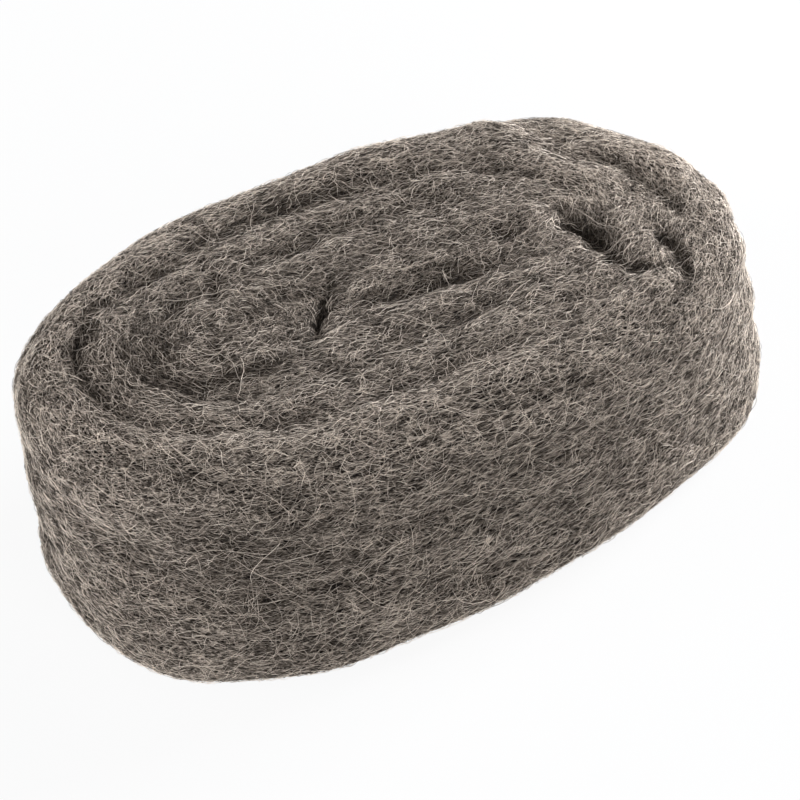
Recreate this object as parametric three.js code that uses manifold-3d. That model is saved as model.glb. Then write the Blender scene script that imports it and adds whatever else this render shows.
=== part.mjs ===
// Steel wool bundle: one long, flat strand of fine steel wool wound into a flattened oval roll.
// Millimetres, +Z up. The winding axis is upright, and the roll stands on the edges of its turns.

import * as THREE from 'three';
import { mergeVertices } from 'three/addons/utils/BufferGeometryUtils.js';
import Module from 'manifold-3d';

const wasm = await Module();
wasm.setup();

// Roll, measured round its crown
const crownLength = 179;
const crownWidth = 98.4;
const squareness = 2.5;
const rollHeight = 60;

// The soft roll has slumped: its foot spreads, and lies shifted and turned under its crown
const footSpread = 0.07;
const footShiftX = 7;
const footShiftY = -5.5;
const footTwist = THREE.MathUtils.degToRad(5.5);
const crownSag = 3;

// Strand, across and over its edges: the outer turn rolls over more than those inside it
const strandThickness = 13.3;
const rimRounding = 12.8;
const rimCrestPlace = 0.78;
const rimFade = 0.2;
const turnRounding = 4.5;
const turnCrestPlace = 0.6;
const footRounding = 7.5;
const felting = 1.4;
const edgeWave = 1.2;
const wavesPerTurn = 2.6;

// Locks of wool, which run with the winding: their height over the hollows, their breadth, their
// number round a turn, and the slanting waves that cross to make them
const lockHeight = 2.2;
const lockBreadth = 15;
const locksPerTurn = 8;
const lockWaves = [
  { around: 1, across: 1 },
  { around: 0.75, across: -0.7 },
  { around: 1.75, across: 0.8 },
];

// How far the edges under the roll are pressed flat by its weight
const footPress = 1.2;

// Outer end: it is drawn out thin at the back of the roll and lies on the turn below it
const tailAngle = THREE.MathUtils.degToRad(120);
const tailTurns = 0.36;
const tailThickness = 1.5;
const tailLap = 0.5;
const tailNarrowing = 11;

// Windings from the tail to the place where the strand runs on into the core
const windings = 3.125;
const stationsPerTurn = 72;
const wallLevels = 9;
const stationsPerPiece = stationsPerTurn / 2;

// Open loop: the third turn is pinched at the roll's right end, and stands off the core's fold
const loopReach = 0.15;
const loopPinch = 6;
const loopOpening = 6.5;

// Core: the strand folds tightly back and runs along the middle, beside a slit, to a blunt end
const foldEye = 1;
const slitWidth = 3;
const coreEndRounding = 7;
const coreEndWidth = 3.5;

// Pushes that have moved the soft turns aside, each at a place on the crown and fading round it:
// the fold and the open loop, the outer turn behind them, the outline's back on the right and on
// the left, the slit, and the core's end
const pushes = [
  { at: new THREE.Vector2(53, 2), by: new THREE.Vector2(3, -12), reach: 20 },
  { at: new THREE.Vector2(68, 18), by: new THREE.Vector2(-6, -4), reach: 15 },
  { at: new THREE.Vector2(78, 36), by: new THREE.Vector2(1, 6), reach: 17 },
  { at: new THREE.Vector2(-34, 48), by: new THREE.Vector2(0, -1.5), reach: 34 },
  { at: new THREE.Vector2(8, -8), by: new THREE.Vector2(0, 3), reach: 17 },
  { at: new THREE.Vector2(-14, -7), by: new THREE.Vector2(-6, 1), reach: 10 },
];

// Share of the way out to the outline at which the crown starts to give way to the wall
const wallStart = 0.75;

// Hollow in the front wall, under the rim at the roll's left end
const wallHollow = 3;
const wallHollowAngle = THREE.MathUtils.degToRad(-152);
const wallHollowSpread = THREE.MathUtils.degToRad(16);
const wallHollowHeight = 34;
const wallHollowReach = 13;

// Heart: the wad that the winding was started on. It lies against the core's end, and its other
// end laps over the third turn.
const heartLength = 51;
const heartWidth = 31;
const heartY = 4;
const heartLap = 2;
const heartTwist = THREE.MathUtils.degToRad(-6);
const heartRounding = 7;
const heartFullness = 0.45;

// Felted middle, hidden between the edges above and below, which binds the turns together
const feltDepth = 15;
const feltFoot = 3;
const feltInset = 22;

const TURN = 2 * Math.PI;
const signedPower = (value, power) => Math.sign(value) * Math.abs(value) ** power;
const smooth = THREE.MathUtils.smoothstep;

// Where the third turn passes the roll's right end, and the place of the heart along the roll
const loopTurn = 2 + tailAngle / TURN;
const heartX = 2 * strandThickness - heartLap - crownLength / 2 + heartLength / 2;

// A point of the oval that lies a given distance inside the crown's outline
function ovalPoint(inset, angle) {
  const power = 2 / squareness;
  return new THREE.Vector2(
    (crownLength / 2 - inset) * signedPower(Math.cos(angle), power),
    (crownWidth / 2 - inset) * signedPower(Math.sin(angle), power),
  );
}

// Thickness of the strand after a number of turns from its outer end
function strandAt(turn) {
  if (turn <= 0) return 0;
  const pinch = loopPinch * Math.exp(-(((turn - loopTurn) / loopReach) ** 2));
  return strandThickness * smooth(turn, 0, tailTurns) - pinch;
}

// Depth of the strand's outer face: the layers that are wound over it there
function depthAt(turn) {
  let depth = 0;
  for (let over = turn - 1; over > 0; over -= 1) {
    depth += strandAt(over);
  }
  return depth;
}

// The strand's section, from its outer face to its inner one: upright walls and rounded edges.
// rim is 1 where the strand is the outer turn and 0 further in.
function strandSection({ outer, inner, crest, foot, rim }) {
  const crestAcross = turnCrestPlace + (rimCrestPlace - turnCrestPlace) * rim;
  const rounding = turnRounding + (rimRounding - turnRounding) * rim;
  const shoulder = crest - rounding;
  const innerShoulder = crest - turnRounding;
  const heel = foot + footRounding;
  const ring = [];
  const put = (across, height) => {
    const place = outer.clone().lerp(inner, across);
    ring.push(new THREE.Vector3(place.x, place.y, height));
  };
  const quarter = (facets, draw) => {
    for (let facet = 0; facet < facets; facet += 1) {
      draw((facet / facets) * Math.PI / 2);
    }
  };
  const rest = 1 - crestAcross;
  for (let level = 0; level < wallLevels; level += 1) {
    put(0, heel + (level / wallLevels) * (shoulder - heel));
  }
  quarter(5, (a) => put(crestAcross * (1 - Math.cos(a)), shoulder + rounding * Math.sin(a)));
  quarter(4, (a) => {
    put(crestAcross + rest * Math.sin(a), innerShoulder + turnRounding * Math.cos(a));
  });
  put(1, innerShoulder);
  quarter(2, (a) => put(1 - rest * (1 - Math.cos(a)), heel - footRounding * Math.sin(a)));
  quarter(3, (a) => put(crestAcross * (1 - Math.sin(a)), heel - footRounding * Math.cos(a)));
  return ring;
}

// A closed skin through a row of rings with equal numbers of points
function loft(rings) {
  const size = rings[0].length;
  const points = rings.flat();
  const faces = [];
  for (let row = 0; row < rings.length - 1; row += 1) {
    for (let k = 0; k < size; k += 1) {
      const a = row * size + k;
      const b = row * size + (k + 1) % size;
      faces.push(a, b, b + size, a, b + size, a + size);
    }
  }
  const close = (row, forwards) => {
    const middle = new THREE.Vector3();
    rings[row].forEach((point) => middle.addScaledVector(point, 1 / size));
    points.push(middle);
    for (let k = 0; k < size; k += 1) {
      const a = row * size + k;
      const b = row * size + (k + 1) % size;
      faces.push(points.length - 1, forwards ? a : b, forwards ? b : a);
    }
  };
  close(0, false);
  close(rings.length - 1, true);
  const geometry = new THREE.BufferGeometry().setFromPoints(points);
  geometry.setIndex(faces);
  return geometry;
}

// A closed geometry as a solid that can be joined and cut
function toSolid(geometry) {
  geometry.deleteAttribute('normal');
  geometry.deleteAttribute('uv');
  const merged = mergeVertices(geometry);
  return new wasm.Manifold(new wasm.Mesh({
    numProp: 3,
    vertProperties: new Float32Array(merged.attributes.position.array),
    triVerts: new Uint32Array(merged.index.array),
  }));
}

// Heights of the strand's edges: the upper one wanders, and both draw in towards the tail
function edgesAt(turn) {
  const narrowing = tailNarrowing * (1 - smooth(turn, 0, tailTurns));
  const wander = edgeWave * (1 - Math.cos(TURN * wavesPerTurn * turn)) / 2;
  return { crest: rollHeight - wander - narrowing, foot: narrowing - footPress };
}

// Windings, from the tail inwards, clockwise seen from above
function windingSections() {
  const sections = [];
  const count = Math.round(windings * stationsPerTurn);
  for (let station = 0; station <= count; station += 1) {
    const turn = station / stationsPerTurn;
    const angle = tailAngle - TURN * turn;
    const lap = tailLap * (1 - smooth(turn, 0, tailTurns));
    const depth = depthAt(turn);
    const thickness = Math.max(strandAt(turn), tailThickness) + felting;
    sections.push({
      outer: ovalPoint(depth - lap, angle),
      inner: ovalPoint(depth + thickness, angle),
      rim: 1 - smooth(turn, 1 - rimFade / 2, 1 + rimFade / 2),
      ...edgesAt(turn),
    });
  }
  return sections;
}

// Core: onwards from the last winding, round the fold and back along the middle to a blunt end
function coreSections(last) {
  const innerDepth = (turn) => depthAt(turn) + strandAt(turn);
  const slitFace = innerDepth(windings - 1 / 2) - crownWidth / 2 + slitWidth;
  const backFace = crownWidth / 2 - innerDepth(windings - 1 / 4);
  const foldEnd = crownLength / 2 - innerDepth(loopTurn) - loopOpening;
  const coreEnd = heartX + heartLength / 2;
  const reach = (last.outer.y - slitFace) / 2;
  const pivot = new THREE.Vector2(foldEnd - reach, slitFace + reach);
  const edges = edgesAt(windings);
  const sections = [];
  const put = (outer, inner) => sections.push({ outer, inner, rim: 0, ...edges });
  const foldSteps = 12;
  for (let step = 0; step <= foldSteps; step += 1) {
    const part = step / foldSteps;
    const ray = new THREE.Vector2(0, 1).rotateAround(new THREE.Vector2(), -Math.PI * part);
    put(pivot.clone().addScaledVector(ray, reach), pivot.clone().addScaledVector(ray, foldEye));
  }
  const runSteps = 14;
  for (let step = 1; step <= runSteps; step += 1) {
    const x = pivot.x + (coreEnd - pivot.x) * (step / runSteps);
    const inner = pivot.y - foldEye + (backFace + felting - pivot.y) * smooth(step, 0, runSteps / 2);
    const middle = (inner + slitFace) / 2;
    const past = 1 - Math.min((x - coreEnd) / coreEndRounding, 1);
    const tip = coreEndWidth / 2;
    const half = tip + ((inner - slitFace) / 2 - tip) * Math.sqrt(1 - past ** 2);
    put(new THREE.Vector2(x, middle - half), new THREE.Vector2(x, middle + half));
  }
  return sections;
}

// The strand from its outer end to its inner one, lofted in pieces that share their end sections
function strandPieces() {
  const windingRow = windingSections();
  const row = [...windingRow, ...coreSections(windingRow[windingRow.length - 1])];
  const rings = row.map(strandSection);
  const pieces = [];
  for (let start = 0; start < rings.length - 1; start += stationsPerPiece) {
    pieces.push(toSolid(loft(rings.slice(start, start + stationsPerPiece + 1))));
  }
  return pieces;
}

// Heart: a wad of wool with domed ends, turned as a round one and then drawn out
function heart() {
  const flankFacets = 6;
  const dome = (end, inwards) => {
    const flank = [];
    for (let facet = 0; facet < flankFacets; facet += 1) {
      const a = (facet / flankFacets) * Math.PI / 2;
      flank.push(new THREE.Vector2(
        Math.cos(a) ** heartFullness, end + inwards * heartRounding * (1 - Math.sin(a)),
      ));
    }
    return [...flank, new THREE.Vector2(0, end)];
  };
  const profile = [...dome(-footPress, 1).reverse(), ...dome(rollHeight, -1)];
  const roundFacets = 28;
  const wad = new THREE.LatheGeometry(profile, roundFacets);
  wad.rotateX(Math.PI / 2);
  wad.scale(heartLength / 2, heartWidth / 2, 1);
  wad.rotateZ(heartTwist);
  wad.translate(heartX, heartY, 0);
  return toSolid(wad);
}

// Felted middle, an upright oval block
function feltedMiddle() {
  const outline = new THREE.Shape();
  const corners = 36;
  for (let corner = 0; corner < corners; corner += 1) {
    const point = ovalPoint(feltInset, TURN * corner / corners);
    if (corner === 0) outline.moveTo(point.x, point.y);
    else outline.lineTo(point.x, point.y);
  }
  const block = new THREE.ExtrudeGeometry(outline, {
    depth: rollHeight - feltDepth - feltFoot, bevelEnabled: false,
  });
  block.translate(0, 0, feltFoot);
  return toSolid(block);
}

// Height of the locks at an angle round the roll and a place across the winding
function lockRise(angle, across) {
  const locks = lockWaves.reduce((sum, wave) => {
    const around = Math.round(wave.around * locksPerTurn) * angle;
    return sum + Math.sin(around + wave.across * TURN * across / lockBreadth);
  }, 0);
  return lockHeight * locks / (2 * lockWaves.length);
}

// Locks, pushes and hollows, which move the wound roll's points a little before it slumps
function loosen(point) {
  const flat = new THREE.Vector2(point.x, point.y);
  for (const push of pushes) {
    const fade = Math.exp(-flat.distanceToSquared(push.at) / push.reach ** 2);
    point.x += push.by.x * fade;
    point.y += push.by.y * fade;
  }
  const angle = Math.atan2(flat.y / crownWidth, flat.x / crownLength);
  const reach = Math.hypot(flat.x / crownLength, flat.y / crownWidth);
  const across = point.z + crownWidth / 2 - crownWidth * reach;
  const rise = lockRise(angle, across);
  const turnsAway = Math.abs(angle - wallHollowAngle) / wallHollowSpread;
  const levelsAway = (point.z - wallHollowHeight) / wallHollowReach;
  const hollow = wallHollow * Math.exp(-(turnsAway ** 2) - levelsAway ** 2);
  const wall = smooth(reach, wallStart / 2, 1 / 2);
  const outwards = flat.normalize().multiplyScalar(wall * (rise - hollow));
  point.x += outwards.x;
  point.y += outwards.y;
  point.z += rise * smooth(point.z, rollHeight / 2, rollHeight) * (1 - wall / 2);
}

// The slump, from the foot, which is spread, shifted and turned, up to the crown, which sags
function slump(point) {
  loosen(point);
  const below = 1 - point.z / rollHeight;
  const spread = 1 + footSpread * below;
  const reach = Math.hypot(2 * point.x / crownLength, 2 * point.y / crownWidth);
  point.z -= crownSag * (1 - smooth(reach, 0, 1)) * smooth(point.z, 0, rollHeight);
  point.x *= spread;
  point.y *= spread;
  point.applyAxisAngle(new THREE.Vector3(0, 0, 1), footTwist * below);
  point.x += footShiftX * below;
  point.y += footShiftY * below;
}

// A solid back as a plain geometry, with each point moved where that is asked
function toGeometry(solid, move = () => {}) {
  const mesh = solid.getMesh();
  const points = [];
  for (let k = 0; k < mesh.vertProperties.length; k += 3) {
    const point = new THREE.Vector3().fromArray(mesh.vertProperties, k);
    move(point);
    points.push(point);
  }
  const geometry = new THREE.BufferGeometry().setFromPoints(points);
  geometry.setIndex([...mesh.triVerts]);
  return geometry;
}

// The largest body, without the crumbs and closed pores that joined walls leave between them
function mainBody(solid) {
  return solid.decompose().reduce((most, body) => (body.volume() > most.volume() ? body : most));
}

// All turns are felted together into one body, which is slumped and then pressed flat underneath
function bundle() {
  const pieces = [...strandPieces(), heart(), feltedMiddle()];
  const wound = pieces.reduce((body, piece) => body.add(piece));
  const slumped = toSolid(toGeometry(wound, slump));
  const ground = new THREE.BoxGeometry(2 * crownLength, 2 * crownWidth, rollHeight);
  ground.translate(0, 0, -rollHeight / 2);
  const geometry = toGeometry(mainBody(slumped.subtract(toSolid(ground))));
  geometry.computeBoundingBox();
  const middle = geometry.boundingBox.getCenter(new THREE.Vector3());
  geometry.translate(-middle.x, -middle.y, -geometry.boundingBox.min.z);
  geometry.computeVertexNormals();
  return geometry;
}

const steelWool = new THREE.MeshStandardMaterial({
  color: 0x6d655e, roughness: 0.62, metalness: 0.75,
});

const group = new THREE.Group();
const roll = new THREE.Mesh(bundle(), steelWool);
roll.name = 'steel_wool_bundle';
group.add(roll);

export default group;
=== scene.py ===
# %% [markdown]
# # A bundle of steel wool
#
# Steel wool is a felt of hair-thin steel slivers. A long, flat strand of it is wound into an oval
# roll, and the roll stands on the edges of its turns. This lesson dresses the plain CAD roll: it
# softens it into wool, presses creases into it, lays thousands of real fibres over it, and lights it.
#
# The CAD part comes in as a frame that doesn't move. Everything else is placed against it.

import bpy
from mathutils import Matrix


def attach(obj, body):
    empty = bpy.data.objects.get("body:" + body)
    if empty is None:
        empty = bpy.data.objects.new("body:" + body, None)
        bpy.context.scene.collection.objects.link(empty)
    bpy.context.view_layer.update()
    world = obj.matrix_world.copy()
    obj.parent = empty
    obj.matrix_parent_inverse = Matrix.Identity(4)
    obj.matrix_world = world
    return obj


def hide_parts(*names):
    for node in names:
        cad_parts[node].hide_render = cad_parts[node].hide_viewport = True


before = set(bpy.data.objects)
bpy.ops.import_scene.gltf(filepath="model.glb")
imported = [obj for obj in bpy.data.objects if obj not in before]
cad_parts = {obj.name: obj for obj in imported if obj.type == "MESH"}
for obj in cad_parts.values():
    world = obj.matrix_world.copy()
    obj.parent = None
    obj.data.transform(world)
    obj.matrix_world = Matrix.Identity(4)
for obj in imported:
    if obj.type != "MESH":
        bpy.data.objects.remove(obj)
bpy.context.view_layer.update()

# %% Tools
import math

import bmesh
import bpy
import numpy as np
from mathutils import Vector, noise
from mathutils.bvhtree import BVHTree

MM = 0.001
TURN = 2 * math.pi
draws = np.random.default_rng(11)
scene = bpy.context.scene


def rising(values, start, width):
    """0 up to the start, then rising to 1 over the width."""
    return np.clip((values - start) / width, 0, 1)


def bump_at(distance):
    """1 at distance 0, fading out like a bell. The distance is a share of the bump's reach."""
    return np.exp(-(distance ** 2))


# %% [markdown]
# ## Camera
#
# The camera comes first. It stands about 0.7 m away, to the left of the roll's middle, and looks down
# on its crown at 42 degrees with a long lens, so that the roll keeps its proportions. It could be
# placed by eye, but its place was fitted to the outline of the roll, and only a small shift is left to
# frame the picture.

# %% Camera
CAMERA_PLACE = (-0.27606, -0.44021, 0.49833)
CAMERA_TURN = (math.radians(48), 0, math.radians(-31.726))
LONG_LENS = 133.15
CAMERA_SHIFT = (0.00234, -0.03934)

camera = bpy.data.objects.new("camera", bpy.data.cameras.new("camera"))
scene.collection.objects.link(camera)
camera.location = CAMERA_PLACE
camera.rotation_euler = CAMERA_TURN
camera.data.lens = LONG_LENS
camera.data.shift_x, camera.data.shift_y = CAMERA_SHIFT
scene.camera = camera

# %% [markdown]
# ## The way the wool runs
#
# Fibres follow the winding. To lay anything along it, the script has to know at each place which
# way the strand runs. The crown is a nest of ovals, one inside the other, and the roll has slumped:
# lower down it is wider, shifted and a little turned. So a place is first moved back to where it
# would be on the crown, and then the oval through it gives the direction, the angle round the roll
# and the depth under the outline. The alternative, reading the direction off the mesh, would be
# noisy where the surface is creased.

# %% Back to the crown
CROWN_LENGTH = 179.0
CROWN_WIDTH = 98.4
SQUARENESS = 2.5
ROLL_HEIGHT = 60.0
FOOT_SPREAD = 0.07
FOOT_SHIFT = np.array((7.0, -5.5))
FOOT_TWIST = math.radians(5.5)
CROWN_MIDDLE = np.array((-6.001, 4.521))


def on_crown(points):
    """Plan places in mm, as they would be on the crown, for places in mm on the slumped roll."""
    below = 1 - points[:, 2:3] / ROLL_HEIGHT
    flat = points[:, :2] - CROWN_MIDDLE - FOOT_SHIFT * below
    angle = -FOOT_TWIST * below[:, 0]
    c, s = np.cos(angle), np.sin(angle)
    flat = np.stack((c * flat[:, 0] - s * flat[:, 1], s * flat[:, 0] + c * flat[:, 1]), axis=1)
    return flat / (1 + FOOT_SPREAD * below)


# %% Depth, angle and direction on the nest of ovals
SHALLOWEST = -12.0
DEEPEST = 44.0
HALVINGS = 26


def nest(flat):
    """Depth under the outline in mm, angle round the roll, and direction along the winding."""
    x, y = np.abs(flat[:, 0]) + 1e-3, np.abs(flat[:, 1]) + 1e-3
    low, high = np.full(len(flat), SHALLOWEST), np.full(len(flat), DEEPEST)
    for _ in range(HALVINGS):
        depth = (low + high) / 2
        a, b = CROWN_LENGTH / 2 - depth, CROWN_WIDTH / 2 - depth
        inside = (x / a) ** SQUARENESS + (y / b) ** SQUARENESS < 1
        low, high = np.where(inside, depth, low), np.where(inside, high, depth)
    a, b = CROWN_LENGTH / 2 - depth, CROWN_WIDTH / 2 - depth
    steep_x = np.sign(flat[:, 0]) * (x / a) ** (SQUARENESS - 1) / a
    steep_y = np.sign(flat[:, 1]) * (y / b) ** (SQUARENESS - 1) / b
    along = np.stack((-steep_y, steep_x), axis=1)
    along /= np.linalg.norm(along, axis=1, keepdims=True) + 1e-9
    power = SQUARENESS / 2
    angle = np.arctan2(np.sign(flat[:, 1]) * (y / b) ** power, np.sign(flat[:, 0]) * (x / a) ** power)
    return depth, angle, along


# %% [markdown]
# The wad in the middle, on which the winding was started, has its own swirl, which turns round the
# wad's centre. At its edge the swirl gives way to the winding.

# %% The swirl of the heart
HEART_MIDDLE = np.array((-38.5, 4.0))
HEART_HALF = np.array((25.0, 15.0))
HEART_EDGE = 1.15
HEART_FADE = 0.3
SWIRL_STRETCH = 1.2


def heart_share(flat):
    """1 in the middle of the heart, 0 outside it."""
    reach = np.linalg.norm((flat - HEART_MIDDLE) / HEART_HALF, axis=1)
    return np.clip((HEART_EDGE - reach) / HEART_FADE, 0, 1)


def wool_direction(points):
    """Direction of the fibres at places in mm on the roll, as vectors in space."""
    flat = on_crown(points)
    along = nest(flat)[2]
    share = heart_share(flat)[:, None]
    away = (flat - HEART_MIDDLE) / HEART_HALF
    swirl = np.stack((-away[:, 1] * SWIRL_STRETCH, away[:, 0]), axis=1)
    swirl /= np.linalg.norm(swirl, axis=1, keepdims=True) + 1e-9
    agree = np.sign((swirl * along).sum(axis=1, keepdims=True))
    mixed = along * (1 - share) + swirl * agree * share
    mixed /= np.linalg.norm(mixed, axis=1, keepdims=True) + 1e-9
    return np.concatenate((mixed, np.zeros((len(points), 1))), axis=1)


# %% [markdown]
# ## The felted roll
#
# The roll's own surface is a felt, dark and dense, under the fibres that lie on top. It could be
# modelled anew, but the CAD solid already has the turns, the fold, the open loop, the slit and the
# heart where they belong. So a copy of it is merged, rebuilt in small even cells by a voxel remesh,
# which welds it to one skin, and then smoothed. The copy stays where the solid is, and stands for it.

# %% One even skin
CELL = 1.25 * MM
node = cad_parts["steel_wool_bundle"]


def even_skin(source, name, cell):
    """A merged copy of a CAD mesh, rebuilt in even cells."""
    built = bmesh.new()
    built.from_mesh(source.data)
    bmesh.ops.remove_doubles(built, verts=built.verts, dist=0.001 * MM)
    rough = bpy.data.meshes.new(name + "_rough")
    built.to_mesh(rough)
    built.free()
    piece = bpy.data.objects.new(name, rough)
    scene.collection.objects.link(piece)
    remesh = piece.modifiers.new("even cells", "REMESH")
    remesh.mode = "VOXEL"
    remesh.voxel_size = cell
    skin = bpy.data.meshes.new_from_object(piece.evaluated_get(bpy.context.evaluated_depsgraph_get()))
    skin.name = name
    piece.modifiers.clear()
    piece.data = skin
    return piece


roll = even_skin(node, "felted_roll", CELL)
print("roll:", len(roll.data.vertices), "points,", 2 * len(roll.data.polygons), "triangles or fewer")


# %% Reading and writing the points of a mesh in mm
def points_of(mesh):
    """The points of a mesh in mm, a row for each."""
    flat = np.empty(3 * len(mesh.vertices))
    mesh.vertices.foreach_get("co", flat)
    return flat.reshape(-1, 3) / MM


def normals_of(mesh):
    """The normals at the points of a mesh, a row for each."""
    flat = np.empty(3 * len(mesh.vertices))
    mesh.vertex_normals.foreach_get("vector", flat)
    return flat.reshape(-1, 3)


def put_points(mesh, points):
    """Moves the points of a mesh to places in mm."""
    mesh.vertices.foreach_set("co", (points * MM).ravel())
    mesh.update()


# %% [markdown]
# Wool fills its own hollows. The grooves between the turns of the solid are too clean for it, so the
# skin is relaxed twice: a little everywhere, and more on the crown, where each place then takes a
# share of the relaxed shape. Relaxing also draws in the outer edge, so the walls take no share.
# The pits of the solid are closed by a web of wool on the real roll. The points of each pit are
# lifted nearly to the crown and relaxed many times, and end up stretched like a web over it. The
# end of the outer turn, at the back on the right, stands a little prouder than its solid.

# %% Distance from a line
def near_line(flat, line):
    """Distance in mm from a line on the crown, and how far along it the nearest place is, 0 to 1."""
    line = np.array(line, dtype=float)
    steps = np.linalg.norm(np.diff(line, axis=0), axis=1)
    starts = np.concatenate(((0,), np.cumsum(steps)))
    least = np.full(len(flat), 1e9)
    place = np.zeros(len(flat))
    for k, step in enumerate(steps):
        way = (line[k + 1] - line[k]) / step
        run = np.clip((flat - line[k]) @ way, 0, step)
        gap = np.linalg.norm(flat - line[k] - run[:, None] * way, axis=1)
        closer = gap < least
        least[closer] = gap[closer]
        place[closer] = (starts[k] + run[closer]) / starts[-1]
    return least, place


# %% Relaxing the skin
def relaxed(mesh, rounds, chosen=None):
    """The mesh's points after rounds of smoothing, of all its points or of the chosen ones."""
    built = bmesh.new()
    built.from_mesh(mesh)
    built.verts.ensure_lookup_table()
    moving = built.verts if chosen is None else [built.verts[k] for k in np.flatnonzero(chosen)]
    for _ in range(rounds):
        bmesh.ops.smooth_vert(
            built, verts=moving, factor=0.5, use_axis_x=True, use_axis_y=True, use_axis_z=True
        )
    points = np.array([v.co for v in built.verts]) / MM
    built.free()
    return points


FIRST_ROUNDS = 4
CROWN_ROUNDS = 12
CROWN_SHARE = 0.35
CROWN_FROM = 6.0
CROWN_FADE = 10.0
LAST_END = ((53, 37), (59, 35))
END_REACH = 5.5
END_LIFT = 2.2
WEB_FLOOR = 55.0
WEB_ABOVE = 30.0
WEB_ROUNDS = 100
WEBS = (
    (((-19, -4), (-14, 5)), 8.0),
    (((-12, -6), (12, -6), (26, -9), (42, -15)), 4.5),
    (((28, 2), (36, 0)), 6.0),
    (((44, -14), (53, -10)), 9.0),
    (((63, -6), (66, -26)), 8.0),
    (((-63, 0), (-62, 0)), 11.0),
)

put_points(roll.data, relaxed(roll.data, FIRST_ROUNDS))
points = points_of(roll.data)
inner = rising(nest(on_crown(points))[0], CROWN_FROM, CROWN_FADE)[:, None]
points += (relaxed(roll.data, CROWN_ROUNDS) - points) * inner * CROWN_SHARE
put_points(roll.data, points)
webbed = np.zeros(len(points), dtype=bool)
flat = on_crown(points)
for line, reach in WEBS:
    webbed |= (near_line(flat, line)[0] < reach) & (points[:, 2] > WEB_ABOVE)
points[webbed, 2] = np.maximum(points[webbed, 2], WEB_FLOOR)
put_points(roll.data, points)
put_points(roll.data, relaxed(roll.data, WEB_ROUNDS, webbed))
print("points stretched into webs:", int(webbed.sum()))
points = points_of(roll.data)
near_end = bump_at(near_line(flat, LAST_END)[0] / END_REACH)
points[:, 2] += END_LIFT * near_end * points[:, 2] / ROLL_HEIGHT
put_points(roll.data, points)

# %% [markdown]
# ## Creases
#
# Where turns meet, the wool parts in creases. Some are long and shallow, and a few are short and
# dark. Each is a line on the crown with a depth and a width, and the points near it are pressed
# down, most at the middle of the line and less towards its ends.

# %% Creases on the crown: depth, width and line
CREASES = {
    "slit between heart and core": (2.3, 1.7, ((-10, 6), (-15, 2), (-19, -2), (-22, -7), (-27, -10))),
    "eye of the fold": (1.8, 2.2, ((30, 1), (37, -1))),
    "back edge of the heart": (0.8, 2.6, ((-29, 27), (-41, 22), (-51, 11), (-57, -5))),
    "front edge of the heart": (
        1.7, 2.4, ((-60, -4), (-56, -8), (-47, -11), (-39, -12), (-28, -14))
    ),
    "dent in the heart": (1.3, 1.6, ((-31, 23), (-34, 18), (-37, 12))),
    "core slit": (1.8, 2.2, ((-6, -3), (7, -5), (16, -6), (27, -9))),
    "open loop": (2.6, 2.6, ((46, -3), (51, -6), (52, -12), (51, -18), (50, -26))),
    "open loop, upper end": (2.0, 2.4, ((46, -6), (49, -5), (52, -7), (52, -10))),
    "right crease": (2.8, 2.3, ((65, -16), (64, -20), (64, -28), (60, -37))),
    "down from the right crease": (0.9, 2.6, ((60, -34), (52, -40), (42, -46))),
    "loop to right crease": (1.6, 2.0, ((49, -22), (54, -29), (62, -33))),
    "front crease": (
        0.6, 2.8,
        ((-78, -10), (-71, -20), (-53, -29), (-36, -34), (-5, -34), (21, -32), (45, -31), (58, -28)),
    ),
    "second front crease": (
        0.5, 2.6, ((-60, -12), (-40, -23), (-10, -23), (15, -20), (36, -17), (48, -14))
    ),
    "back crease": (1.8, 2.8, ((52, 31), (56, 27), (59, 21), (63, 14), (71, 9))),
    "right back crease": (0.8, 2.8, ((66, 12), (71, 5), (73, -7), (74, -16), (76, -26))),
    "left back crease": (1.3, 2.8, ((-54, 22), (-45, 29), (-29, 34), (-9, 35), (15, 34), (32, 32))),
    "inner back crease": (0.5, 2.6, ((-20, 22), (0, 24), (22, 22), (40, 17), (50, 8))),
    "left crease": (0.9, 2.8, ((-45, 29), (-62, 24), (-72, 14), (-76, -2), (-73, -14))),
}

# %% Pressing the creases in
FACING_UP = 1.6
PRESS_FROM = 36.0
PRESS_FADE = 8.0
LINE_END = 0.06

points = points_of(roll.data)
normals = normals_of(roll.data)
flat = on_crown(points)
upward = np.clip(normals[:, 2] * FACING_UP, 0, 1) * rising(points[:, 2], PRESS_FROM, PRESS_FADE)
pressed = np.zeros(len(points))
for deep, wide, line in CREASES.values():
    gap, place = near_line(flat, line)
    ends = np.sin(np.clip(place, LINE_END, 1 - LINE_END) * math.pi) ** 0.5
    pressed += deep * bump_at(gap / wide) * ends * upward
points[:, 2] -= pressed
put_points(roll.data, points)
put_points(roll.data, relaxed(roll.data, 1))
print("creases pressed in:", len(CREASES))

# %% [markdown]
# ## Locks of wool
#
# Wool gathers in locks that run with the winding, a few millimetres across and several times as
# long. They are noise, but noise that is stretched along the winding and has no seam round the roll:
# the angle becomes a place on a circle, so it comes back to where it began. The same three numbers
# are kept on the mesh for the material.

# %% Places in the winding
HALF_GIRTH = 76.0
STRETCH = 5.0
CORE_DEPTH = 40.0
CORE_EDGE = 8.0
CORE_STRETCH = 1.5
HEART_STEP = 3.0
SEED_STEP = 17.3


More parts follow.
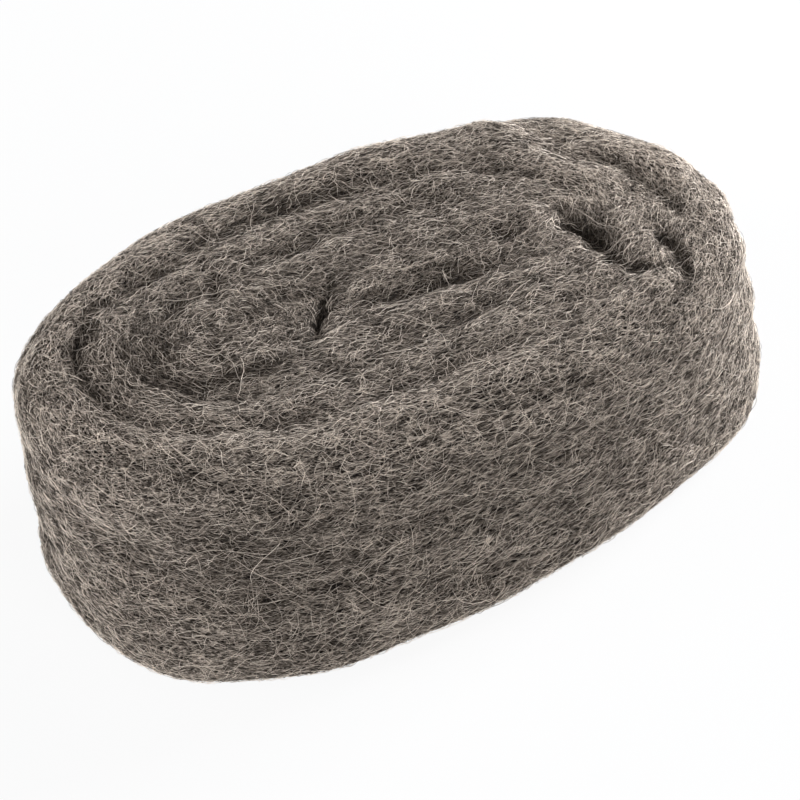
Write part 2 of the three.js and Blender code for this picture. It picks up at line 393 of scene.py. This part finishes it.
def winding_place(flat):
    """Round the roll as a place on a circle, shortened by the stretch, and depth under the outline.

    In the flat core, where the angle jumps, plain lengths take over from it."""
    depth, angle, _ = nest(flat)
    round_it = np.clip((CORE_DEPTH - depth) / CORE_EDGE, 0, 1)[:, None]
    circle = np.stack((np.cos(angle), np.sin(angle)), axis=1) * HALF_GIRTH / STRETCH
    plain = flat * (CORE_STRETCH / STRETCH, 1.0)
    lengths = circle * round_it + plain * (1 - round_it)
    return np.concatenate((lengths, (depth + HEART_STEP * heart_share(flat))[:, None]), axis=1)


def lumps(places, size, seed):
    """Smooth noise from about -1 to 1, with lumps of a size in mm."""
    shifted = places / size + seed * SEED_STEP
    return np.array([noise.noise(tuple(place)) for place in shifted])


# %% Raising the locks
BIG_LOCKS = {"height": 0.5, "size": 6.5}
SMALL_LOCKS = {"height": 0.2, "size": 3.2}
TUFTS = {"height": 0.06, "size": 3.4}
FOOT_NAP = 0.35
LOCKS_FROM = 0.8
LOCKS_FADE = 3.0

points = points_of(roll.data)
normals = normals_of(roll.data)
unrolled = winding_place(on_crown(points))
unrolled[:, 2] += points[:, 2]
shift = (
    BIG_LOCKS["height"] * lumps(unrolled, BIG_LOCKS["size"], 2)
    + SMALL_LOCKS["height"] * lumps(unrolled, SMALL_LOCKS["size"], 3)
    + TUFTS["height"] * lumps(points, TUFTS["size"], 4)
)
above_ground = rising(points[:, 2], LOCKS_FROM, LOCKS_FADE)
points += normals * (shift * above_ground)[:, None]
points[:, 2] = np.maximum(points[:, 2], FOOT_NAP)
put_points(roll.data, points)
roll.data.polygons.foreach_set("use_smooth", np.ones(len(roll.data.polygons), dtype=bool))

winding = roll.data.attributes.new("winding", "FLOAT_VECTOR", "POINT")
winding.data.foreach_set("vector", winding_place(on_crown(points)).ravel())
print("locks raised, from", round(shift.min(), 2), "to", round(shift.max(), 2), "mm")

# %% [markdown]
# Shade is painted into the hollows and creases: the wool there is made darker than the light alone
# makes it. How far a place lies under the relaxed skin tells how hollow it is, and the painted shade
# is kept on the mesh too. The inner turns are made darker as well. The right end of the crown gets
# painted light. Two patches are made darker: one at the left end of the crown, and one on the wall
# under the front left corner, where the darkening is painted shade under the rim.

# %% Painted shade in the hollows and creases
HOLLOW_ROUNDS = 24
HOLLOW_DEPTH = 1.1
# painted shade in the pressed creases, by their depth
CREASE_SHADE = 0.55
# the inner turns of the crown are made darker
INNER_DARKENING = 0.45
INNER_FROM = 12.0
INNER_FADE = 12.0
INNER_ABOVE = 40.0
# painted light: the right end of the crown, towards the right lamp, is made lighter
PAINTED_LIGHT_END = {"place": (65.0, 3.0), "reach": 22.0, "darkening": -1.1}
# a patch at the left end of the crown is made darker
DARKER_LEFT = {"place": (-68.0, 14.0), "reach": 18.0, "darkening": 0.45}
# painted shade on the wall under the rim at the front left corner
PAINTED_SHADE_UNDER_RIM = {"place": (-66.0, -38.0, 36.0), "reach": (22.0, 16.0, 14.0), "darkening": 0.8}


def shading_patch(places, patch):
    """Painted shade in a round patch, or painted light where the darkening is below zero."""
    away = (places - np.array(patch["place"])) / np.array(patch["reach"])
    return patch["darkening"] * bump_at(np.linalg.norm(away, axis=1))


# Painted shade in the hollows and creases, darker inner turns, painted light at the right end of the
# crown, and two darker patches.
sunk = ((relaxed(roll.data, HOLLOW_ROUNDS) - points) * normals_of(roll.data)).sum(axis=1)
flat = on_crown(points)
inner = rising(nest(flat)[0], INNER_FROM, INNER_FADE) * (points[:, 2] > INNER_ABOVE)
painted_shading = np.clip(sunk / HOLLOW_DEPTH, -1, 1) + CREASE_SHADE * pressed + INNER_DARKENING * inner
painted_shading += shading_patch(flat, PAINTED_LIGHT_END) + shading_patch(points, PAINTED_SHADE_UNDER_RIM) + shading_patch(flat, DARKER_LEFT)
roll.data.attributes.new("painted_shading", "FLOAT", "POINT").data.foreach_set("value", painted_shading)
print("hollow places:", int((painted_shading > 0.5).sum()), "of", len(painted_shading))

# %% [markdown]
# ## Felt material
#
# Between the fibres that catch the light, wool is nearly black, because light that goes in doesn't
# come out. A noise has thin, curly contour lines, which look just like fibres. The material draws
# three nets of such lines, stretched along the winding, and makes the lines lighter and higher than
# the gaps between them. It has hardly any gloss, because a felt of fibres scatters what it reflects.

# %% Small helpers for node trees
def new_material(name):
    """A material, its node tree and its shader."""
    material = bpy.data.materials.new(name)
    material.use_nodes = True
    return material, material.node_tree, material.node_tree.nodes["Principled BSDF"]


def maths(tree, operation, first, second=None, third=None):
    """A Math node; each input is a number or another node's output."""
    added = tree.nodes.new("ShaderNodeMath")
    added.operation = operation
    for socket, value in zip(added.inputs, (first, second, third)):
        if value is None:
            continue
        if isinstance(value, (int, float)):
            socket.default_value = value
        else:
            tree.links.new(value, socket)
    return added.outputs[0]


def ramp(tree, value, stops):
    """A colour ramp with (place, grey or colour) stops."""
    added = tree.nodes.new("ShaderNodeValToRGB")
    colours = added.color_ramp.elements
    while len(colours) < len(stops):
        colours.new(0.5)
    for element, (place, colour) in zip(colours, stops):
        element.position = place
        element.color = (*colour, 1)
    tree.links.new(value, added.inputs["Fac"])
    return added.outputs["Color"]


def cloud(tree, vector, scale, detail=1.0, fourth=None, distortion=0.0):
    """A noise texture's value, in 4D where a fourth coordinate is given."""
    added = tree.nodes.new("ShaderNodeTexNoise")
    added.noise_dimensions = "4D" if fourth is not None else "3D"
    added.inputs["Scale"].default_value = scale
    added.inputs["Detail"].default_value = detail
    added.inputs["Distortion"].default_value = distortion
    tree.links.new(vector, added.inputs["Vector"])
    if fourth is not None:
        tree.links.new(fourth, added.inputs["W"])
    return added.outputs["Fac"]


def threads(tree, value, level, thin):
    """Thin lines along one contour of a noise: 1 on the line, 0 away from it."""
    away = maths(tree, "ABSOLUTE", maths(tree, "SUBTRACT", value, level))
    return maths(tree, "SUBTRACT", 1.0, maths(tree, "MINIMUM", maths(tree, "DIVIDE", away, thin), 1.0))


# %% The felt
GAP_COLOUR = (0.012, 0.010, 0.009)
DULL_COLOUR = (0.10, 0.082, 0.066)
BRIGHT_COLOUR = (0.72, 0.615, 0.52)
# how much the painted shade darkens the felt and the fibres
PAINTED_SHADING_STRENGTH = 0.22
FELT_SHADE = 0.4
PATCH_SCALE = 0.3
PATCH_CONTRAST = 0.8
NETS = {
    "long": {"scale": 1.3, "distortion": 0.5, "level": 0.5, "thin": 0.06, "share": 1.0},
    "short": {"scale": 1.7, "distortion": 0.7, "level": 0.45, "thin": 0.07, "share": 1.0},
    "fine": {"scale": 2.4, "distortion": 0.5, "level": 0.5, "thin": 0.08, "share": 0.7},
}

felt, tree, shader = new_material("felted_steel_wool")
place = tree.nodes.new("ShaderNodeTexCoord").outputs["Object"]
wound = tree.nodes.new("ShaderNodeAttribute")
wound.attribute_name = "winding"
height = tree.nodes.new("ShaderNodeSeparateXYZ")
tree.links.new(place, height.inputs[0])
drop = maths(tree, "MULTIPLY", height.outputs["Z"], 1 / MM)

nets = 0.0
for net in NETS.values():
    wavy = cloud(tree, wound.outputs["Vector"], net["scale"], 1, drop, net["distortion"])
    lines = threads(tree, wavy, net["level"], net["thin"])
    nets = maths(tree, "MAXIMUM", nets, maths(tree, "MULTIPLY", lines, net["share"]))
patches = cloud(tree, wound.outputs["Vector"], PATCH_SCALE, 2, drop)
# the painted shade kept on the mesh darkens the felt
low = tree.nodes.new("ShaderNodeAttribute")
low.attribute_name = "painted_shading"
shade = maths(tree, "MULTIPLY_ADD", low.outputs["Fac"], -PAINTED_SHADING_STRENGTH, FELT_SHADE)
shown = maths(tree, "MULTIPLY", nets, maths(tree, "MULTIPLY_ADD", patches, PATCH_CONTRAST, shade))
tree.links.new(
    ramp(tree, shown, ((0.0, GAP_COLOUR), (0.35, DULL_COLOUR), (1.0, BRIGHT_COLOUR))),
    shader.inputs["Base Color"],
)
bump = tree.nodes.new("ShaderNodeBump")
bump.inputs["Strength"].default_value = 1.0
bump.inputs["Distance"].default_value = 0.35 * MM
tree.links.new(nets, bump.inputs["Height"])
tree.links.new(bump.outputs["Normal"], shader.inputs["Normal"])
shader.inputs["Metallic"].default_value = 0.2
shader.inputs["Specular IOR Level"].default_value = 0.0
shader.inputs["Roughness"].default_value = 0.5

roll.data.materials.clear()
roll.data.materials.append(felt)
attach(roll, "root")
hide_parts("steel_wool_bundle")

# %% [markdown]
# ## One fibre
#
# A fibre is shaved off a steel wire, so it is a sliver with three edges and drawn-out ends. There
# are tens of thousands, so it has few faces: a three-sided rod with some cuts across it, whose end
# rings are merged to points. The more parts it has, the more it can curl. Curves with a bevel would
# do, but they make more sides and open ends.

# %% The plain fibre
def plain_fibre(parts):
    """A straight three-sided sliver from x 0 to 1, as points and faces."""
    built = bmesh.new()
    bmesh.ops.create_cone(built, cap_ends=True, segments=3, radius1=1, radius2=1, depth=1)
    upright = [e for e in built.edges if abs(e.verts[0].co.z - e.verts[1].co.z) > 0.5]
    bmesh.ops.subdivide_edges(built, edges=upright, cuts=parts - 1)
    for end in (-0.5, 0.5):
        ring = [v for v in built.verts if abs(v.co.z - end) < 1e-4]
        bmesh.ops.pointmerge(built, verts=ring, merge_co=(0, 0, end))
    bmesh.ops.triangulate(built, faces=built.faces)
    bmesh.ops.recalc_face_normals(built, faces=built.faces)
    built.verts.index_update()
    points = np.array([(v.co.z + 0.5, v.co.x, v.co.y) for v in built.verts])
    faces = np.array([[v.index for v in f.verts] for f in built.faces])
    built.free()
    return points, faces


# %% [markdown]
# ## Laying fibres
#
# Each fibre starts at a place on the skin and walks over it in steps. At each step it turns a little
# away from the winding, which makes it curl, and is put back on the nearest place of the skin. Its
# height over the skin rises and falls, so it dips in and out of the felt, and its ends are tucked
# in. Purely random starts would clump, so each fibre has a stretch of the skin's area to itself and
# starts anywhere in it. A hair system would be quicker to set up, but these have to become closed
# meshes.

# %% The skin to walk on
roll.data.calc_loop_triangles()
corners = np.empty(3 * len(roll.data.loop_triangles), dtype=int)
roll.data.loop_triangles.foreach_get("vertices", corners)
corners = corners.reshape(-1, 3)
skin_points = points_of(roll.data)
skin = BVHTree.FromPolygons(skin_points.tolist(), corners.tolist())
a, b, c = (skin_points[corners[:, k]] for k in range(3))
areas = np.linalg.norm(np.cross(b - a, c - a), axis=1) / 2
middles = (a + b + c) / 3
print("skin:", round(areas.sum() / 100), "square cm")


# %% Starts spread evenly over the skin
CELL_BITS = 8

cells = (middles - middles.min(axis=0)).astype(int)
code = sum(
    ((cells[:, axis] >> bit) & 1) << (3 * bit + axis) for bit in range(CELL_BITS) for axis in range(3)
)
neighbours_first = np.argsort(code, kind="stable")


def starts(count, weight):
    """Random places on the skin, more of them where weight is high, each near the one before."""
    reached = np.cumsum((areas * weight)[neighbours_first])
    picks = (np.arange(count) + draws.random(count)) / count * reached[-1]
    chosen = neighbours_first[np.searchsorted(reached, picks)]
    u, v = draws.random(count), draws.random(count)
    over = u + v > 1
    u[over], v[over] = 1 - u[over], 1 - v[over]
    a, b, c = (skin_points[corners[chosen, k]] for k in range(3))
    return a + (b - a) * u[:, None] + (c - a) * v[:, None]


# %% The walk over the skin
def on_skin(places):
    """The nearest places on the skin, and the skin's normals there."""
    found = [skin.find_nearest(place) for place in places]
    return np.array([f[0] for f in found]), np.array([f[1] for f in found])


def unit(vectors):
    """The vectors at length 1."""
    return vectors / (np.linalg.norm(vectors, axis=1, keepdims=True) + 1e-9)


def painted_shading_at(places):
    """The painted shade of the skin nearest to each place."""
    return painted_shading[corners[[skin.find_nearest(place)[2] for place in places], 0]]


def walk(places, lengths, turns):
    """Paths over the skin: (steps, fibres, 3) places, and normals. turns has a row for each step."""
    rows = len(turns)
    places, normals = on_skin(places)
    sign = np.where(draws.random(len(places)) < 0.5, -1.0, 1.0)[:, None]
    path, ups = [places], [normals]
    for row in range(rows):
        way = wool_direction(places) * sign
        way = unit(way - normals * (way * normals).sum(axis=1, keepdims=True))
        angle = turns[row][:, None]
        way = way * np.cos(angle) + np.cross(normals, way) * np.sin(angle)
        places, normals = on_skin(places + way * (lengths / rows)[:, None])
        path.append(places)
        ups.append(normals)
    return np.array(path), np.array(ups)


# %% Bending the plain fibre along its path
def bent_fibres(name, plain, path, ups, heights, radii, shades):
    """One mesh of many fibres, none under the ground. heights has a row for each place of the path."""
    points, faces = plain
    rows, count = path.shape[:2]
    raised = path + ups * heights[:, :, None]
    ways = np.empty_like(raised)
    ways[1:-1] = raised[2:] - raised[:-2]
    ways[0], ways[-1] = raised[1] - raised[0], raised[-1] - raised[-2]
    row_of = np.rint(points[:, 0] * (rows - 1)).astype(int)
    way = unit(ways.reshape(-1, 3)).reshape(ways.shape)
    side = unit(np.cross(way, ups).reshape(-1, 3)).reshape(ways.shape)
    over = np.cross(side, way)
    made = (
        raised[row_of]
        + side[row_of] * (points[:, 1, None] * radii)[:, :, None]
        + over[row_of] * (points[:, 2, None] * radii)[:, :, None]
    ).transpose(1, 0, 2)
    made[:, :, 2] += np.maximum(-made[:, :, 2].min(axis=1), 0)[:, None]
    made = made.reshape(-1, 3)
    all_faces = (faces[None] + (np.arange(count) * len(points))[:, None, None]).reshape(-1, 3)
    mesh = bpy.data.meshes.new(name)
    mesh.from_pydata((made * MM).tolist(), [], all_faces.tolist())
    shade = mesh.attributes.new("shade", "FLOAT", "POINT")
    shade.data.foreach_set("value", np.repeat(shades, len(points)))
    fit_map(mesh, points, faces, count)
    piece = bpy.data.objects.new(name, mesh)
    scene.collection.objects.link(piece)
    return piece


# %% [markdown]
# Each fibre also gets a small field of its own in a UV map, so that its colour can be kept as a
# picture when the model is exported. The fields lie in rows and columns like stamps on a sheet.

# %% A field for each fibre in the UV map
def fit_map(mesh, points, faces, count):
    """Lays each of a mesh's count fibres flat on its own field of the UV map."""
    across = math.ceil(math.sqrt(count))
    field = np.stack((0.1 + 0.8 * points[:, 0], 0.5 + 0.35 * points[:, 1]), axis=1)[faces.ravel()]
    which = np.arange(count)
    corner = np.stack((which % across, which // across), axis=1)
    places = ((corner[:, None, :] + field[None]) / across).reshape(-1, 2)
    fields = mesh.uv_layers.new(name="OFBake")
    fields.data.foreach_set("uv", places.ravel())


# %% [markdown]
# ## Fibre material
#
# Clean slivers are bright and the oily ones dark. Each fibre has its own shade, kept on the mesh,
# and a fine noise makes it change a little along its length.

# %% Fibre material
DARK_FIBRE = (0.02, 0.017, 0.014)
MIDDLE_FIBRE = (0.28, 0.232, 0.192)
CLEAN_FIBRE = (0.98, 0.86, 0.735)
FLECK_SCALE = 260.0
FLECK = 0.5

sliver, tree, shader = new_material("steel_sliver")
place = tree.nodes.new("ShaderNodeTexCoord").outputs["Object"]
own = tree.nodes.new("ShaderNodeAttribute")
own.attribute_name = "shade"
change = maths(tree, "MULTIPLY_ADD", cloud(tree, place, FLECK_SCALE, 1), FLECK, -FLECK / 2)
tree.links.new(
    ramp(
        tree, maths(tree, "ADD", own.outputs["Fac"], change),
        ((0.0, DARK_FIBRE), (0.55, MIDDLE_FIBRE), (1.0, CLEAN_FIBRE)),
    ),
    shader.inputs["Base Color"],
)
shader.inputs["Metallic"].default_value = 0.35
shader.inputs["Specular IOR Level"].default_value = 0.1
shader.inputs["Roughness"].default_value = 0.38


def dress(piece):
    """Gives a piece of fibres its material, and ties it to the part."""
    piece.data.polygons.foreach_set("use_smooth", np.ones(len(piece.data.polygons), dtype=bool))
    piece.data.materials.append(sliver)
    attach(piece, "root")
    print(piece.name, "has", len(piece.data.polygons), "faces")


# %% [markdown]
# ## Nap and curls
#
# Two kinds of fibre cover the whole roll. Many short ones, most of them oily, give the felt its
# grain. Fewer longer ones, most of them clean, curl through them and make the tangle that steel wool
# is known by. They come in zones, each a mesh of its own, so that none gets too large. Underneath,
# where the roll lies on its edges, they are sparser. Steps of the golden ratio pick the clean ones,
# because picking by chance would leave pale and dark blotches.

# %% Zones and kinds
CROWN_ABOVE = 45.0
UNDER_BELOW = 1.5
LEFT_OF = -10.0

crown_places = on_crown(middles)
is_crown = middles[:, 2] > CROWN_ABOVE
is_under = middles[:, 2] < UNDER_BELOW
is_wall = ~is_crown & ~is_under
ZONES = {
    "crown_left": ({"nap": 15000, "curls": 5200}, is_crown & (crown_places[:, 0] < LEFT_OF)),
    "crown_right": ({"nap": 15000, "curls": 5200}, is_crown & (crown_places[:, 0] >= LEFT_OF)),
    "front": ({"nap": 15500, "curls": 5600}, is_wall & (crown_places[:, 1] < 0)),
    "back": ({"nap": 13000, "curls": 4000}, is_wall & (crown_places[:, 1] >= 0)),
    "under": ({"nap": 3000, "curls": 100}, is_under),
}
KINDS = {
    "nap": {
        "parts": 2, "lengths": (1.8, 4.0), "radii": (0.044, 0.068), "rise": (0.0, 0.4),
        "spread": 0.4, "curl": 0.5, "clean_part": 0.34, "clean": (0.78, 0.12), "oily": (0.13, 0.12),
    },
    "curls": {
        "parts": 5, "lengths": (3.5, 8.5), "radii": (0.033, 0.053), "rise": (0.1, 0.7),
        "spread": 0.5, "curl": 0.5, "clean_part": 0.8, "clean": (0.92, 0.1), "oily": (0.15, 0.12),
    },
}

# %% Laying nap and curls
GOLDEN = 0.618034
PICK_SPREAD = 0.3
LOCK_LEAN = 0.35
LOCK_SIZE = 9.0
RIPPLE = 0.12
TUCK = 0.06


def wandering(count, parts, lean, curl):
    """Angles away from the winding, a row for each step, each changed a little from the one before."""
    changes = draws.normal(0, curl, (parts, count))
    changes[0] = lean
    return np.cumsum(changes, axis=0)


def lay_fibres(name, count, zone, kind):
    """Fibres of one kind over one zone of the skin."""
    parts = kind["parts"]
    places = starts(count, zone.astype(float))
    lean = draws.normal(0, kind["spread"], count) + LOCK_LEAN * lumps(places, LOCK_SIZE, 6)
    lengths = draws.uniform(*kind["lengths"], count)
    path, ups = walk(places, lengths, wandering(count, parts, lean, kind["curl"]))
    along = np.linspace(0, 1, parts + 1)[:, None]
    begin = draws.uniform(0, TURN, count)
    heights = draws.uniform(*kind["rise"], count) * np.sin(along * math.pi) ** 0.6
    heights += RIPPLE * np.sin(begin + 7 * along) - TUCK
    pick = (np.arange(count) * GOLDEN + PICK_SPREAD * draws.random(count)) % 1
    clean, oily = draws.normal(*kind["clean"], count), draws.normal(*kind["oily"], count)
    # each fibre is darkened by the painted shade of the skin where it starts
    shades = np.where(pick < kind["clean_part"], clean, oily) - PAINTED_SHADING_STRENGTH * painted_shading_at(places)
    radii = draws.uniform(*kind["radii"], count)
    dress(bent_fibres(name, plain_fibre(parts), path, ups, heights, radii, np.clip(shades, 0, 1)))


for zone_name, (counts, zone) in ZONES.items():
    for kind_name, count in counts.items():
        lay_fibres(kind_name + "_" + zone_name, count, zone, KINDS[kind_name])

# %% [markdown]
# ## Stray fibres
#
# Some long fibres have worked loose and lie in wide curls over the rest, most of them on the front
# wall, left of the middle. They have more parts than the others, to bend smoothly: their bend, and
# not only their heading, changes little from step to step.

# %% Strays
STRAYS = 240
STRAY_PARTS = 16
STRAY_LENGTHS = (7, 24)
STRAY_RADII = (0.042, 0.068)
STRAY_RISE = (0.35, 0.9)
STRAY_SPREAD = 0.7
FIRST_BEND = 0.06
KEPT_BEND = 0.85
BEND_CHANGE = 0.05
STRAY_TUCK = 0.05
STRAY_SHADE = (0.75, 0.2)
DARKEST_STRAY = 0.3
UNDER_WEIGHT = 0.05
PLAIN_WEIGHT = 0.2
FRONT_WEIGHT = 1.6
FRONT_LEFT = -45.0
FRONT_LEFT_REACH = 40.0
FRONT_OF = -20.0

front_left = bump_at((crown_places[:, 0] - FRONT_LEFT) / FRONT_LEFT_REACH)
on_front_wall = (crown_places[:, 1] < FRONT_OF) & is_wall
weight = np.where(is_under, UNDER_WEIGHT, PLAIN_WEIGHT) + FRONT_WEIGHT * front_left * on_front_wall
places = starts(STRAYS, weight)
lengths = draws.uniform(*STRAY_LENGTHS, STRAYS)
bend = draws.normal(0, FIRST_BEND, STRAYS)
heading = draws.normal(0, STRAY_SPREAD, STRAYS)
turns = []
for step in range(STRAY_PARTS):
    bend = KEPT_BEND * bend + draws.normal(0, BEND_CHANGE, STRAYS)
    heading = heading + bend
    turns.append(heading)
path, ups = walk(places, lengths, turns)
along = np.linspace(0, 1, STRAY_PARTS + 1)[:, None]
heights = draws.uniform(*STRAY_RISE, STRAYS) * np.sin(along * math.pi) ** 0.4 - STRAY_TUCK
radii = draws.uniform(*STRAY_RADII, STRAYS)
shades = np.clip(draws.normal(*STRAY_SHADE, STRAYS), DARKEST_STRAY, 1)
dress(bent_fibres("stray_fibres", plain_fibre(STRAY_PARTS), path, ups, heights, radii, shades))

# %% [markdown]
# ## Studio
#
# The bundle stands on a pale floor in soft light. The main lamp is high on the right, weaker ones
# fill in from the left and the front, and the sky is even and grey. What the camera sees of floor
# and sky is nearly white, by the light path and not by more light, and the floor keeps the roll's
# shadow.

# %% Floor
FLOOR_HALF = 4
FLOOR_WHITE = 0.92

floor_mesh = bpy.data.meshes.new("floor")
built = bmesh.new()
bmesh.ops.create_grid(built, x_segments=1, y_segments=1, size=FLOOR_HALF)
built.to_mesh(floor_mesh)
built.free()
floor = bpy.data.objects.new("floor", floor_mesh)
scene.collection.objects.link(floor)


def seen_directly(tree):
    """1 for what the camera, a mirror or clear glass sees directly."""
    path = tree.nodes.new("ShaderNodeLightPath")
    seen = maths(tree, "MAXIMUM", path.outputs["Is Camera Ray"], path.outputs["Is Glossy Ray"])
    return maths(tree, "MAXIMUM", seen, path.outputs["Is Transmission Ray"])


paper, tree, shader = new_material("pale_floor")
shader.inputs["Base Color"].default_value = (0.8, 0.8, 0.8, 1)
shader.inputs["Roughness"].default_value = 0.9
white = tree.nodes.new("ShaderNodeEmission")
mixed = tree.nodes.new("ShaderNodeMixShader")
tree.links.new(maths(tree, "MULTIPLY", seen_directly(tree), FLOOR_WHITE), mixed.inputs["Fac"])
tree.links.new(shader.outputs[0], mixed.inputs[1])
tree.links.new(white.outputs[0], mixed.inputs[2])
tree.links.new(mixed.outputs[0], tree.nodes["Material Output"].inputs["Surface"])
floor_mesh.materials.append(paper)

# %% Sky
SKY = 0.204

world = bpy.data.worlds.new("studio")
world.use_nodes = True
scene.world = world
tree = world.node_tree
sky = tree.nodes["Background"]
sky.inputs["Color"].default_value = (1, 1, 1, 1)
tree.links.new(maths(tree, "MULTIPLY_ADD", seen_directly(tree), 1 - SKY, SKY), sky.inputs["Strength"])

# %% Lamps
LAMP_COLOUR = (0.93, 0.955, 1.0)
LAMPS_LOOK_AT = Vector((0, 0, 0.03))


def soft_lamp(name, place, size, watts):
    """A square lamp that faces the roll."""
    lamp = bpy.data.objects.new(name, bpy.data.lights.new(name, "AREA"))
    lamp.data.size = size
    lamp.data.energy = watts
    lamp.data.color = LAMP_COLOUR
    lamp.location = place
    lamp.rotation_euler = (LAMPS_LOOK_AT - Vector(place)).to_track_quat("-Z", "Y").to_euler()
    scene.collection.objects.link(lamp)


soft_lamp("right_lamp", (0.95, 0.1, 0.42), 0.4, 16.4)
soft_lamp("left_lamp", (-1.0, 0.2, 0.3), 0.45, 8.6)
soft_lamp("front_lamp", (0.0, -0.95, 0.55), 0.5, 4.5)

scene.view_settings.view_transform = "Standard"
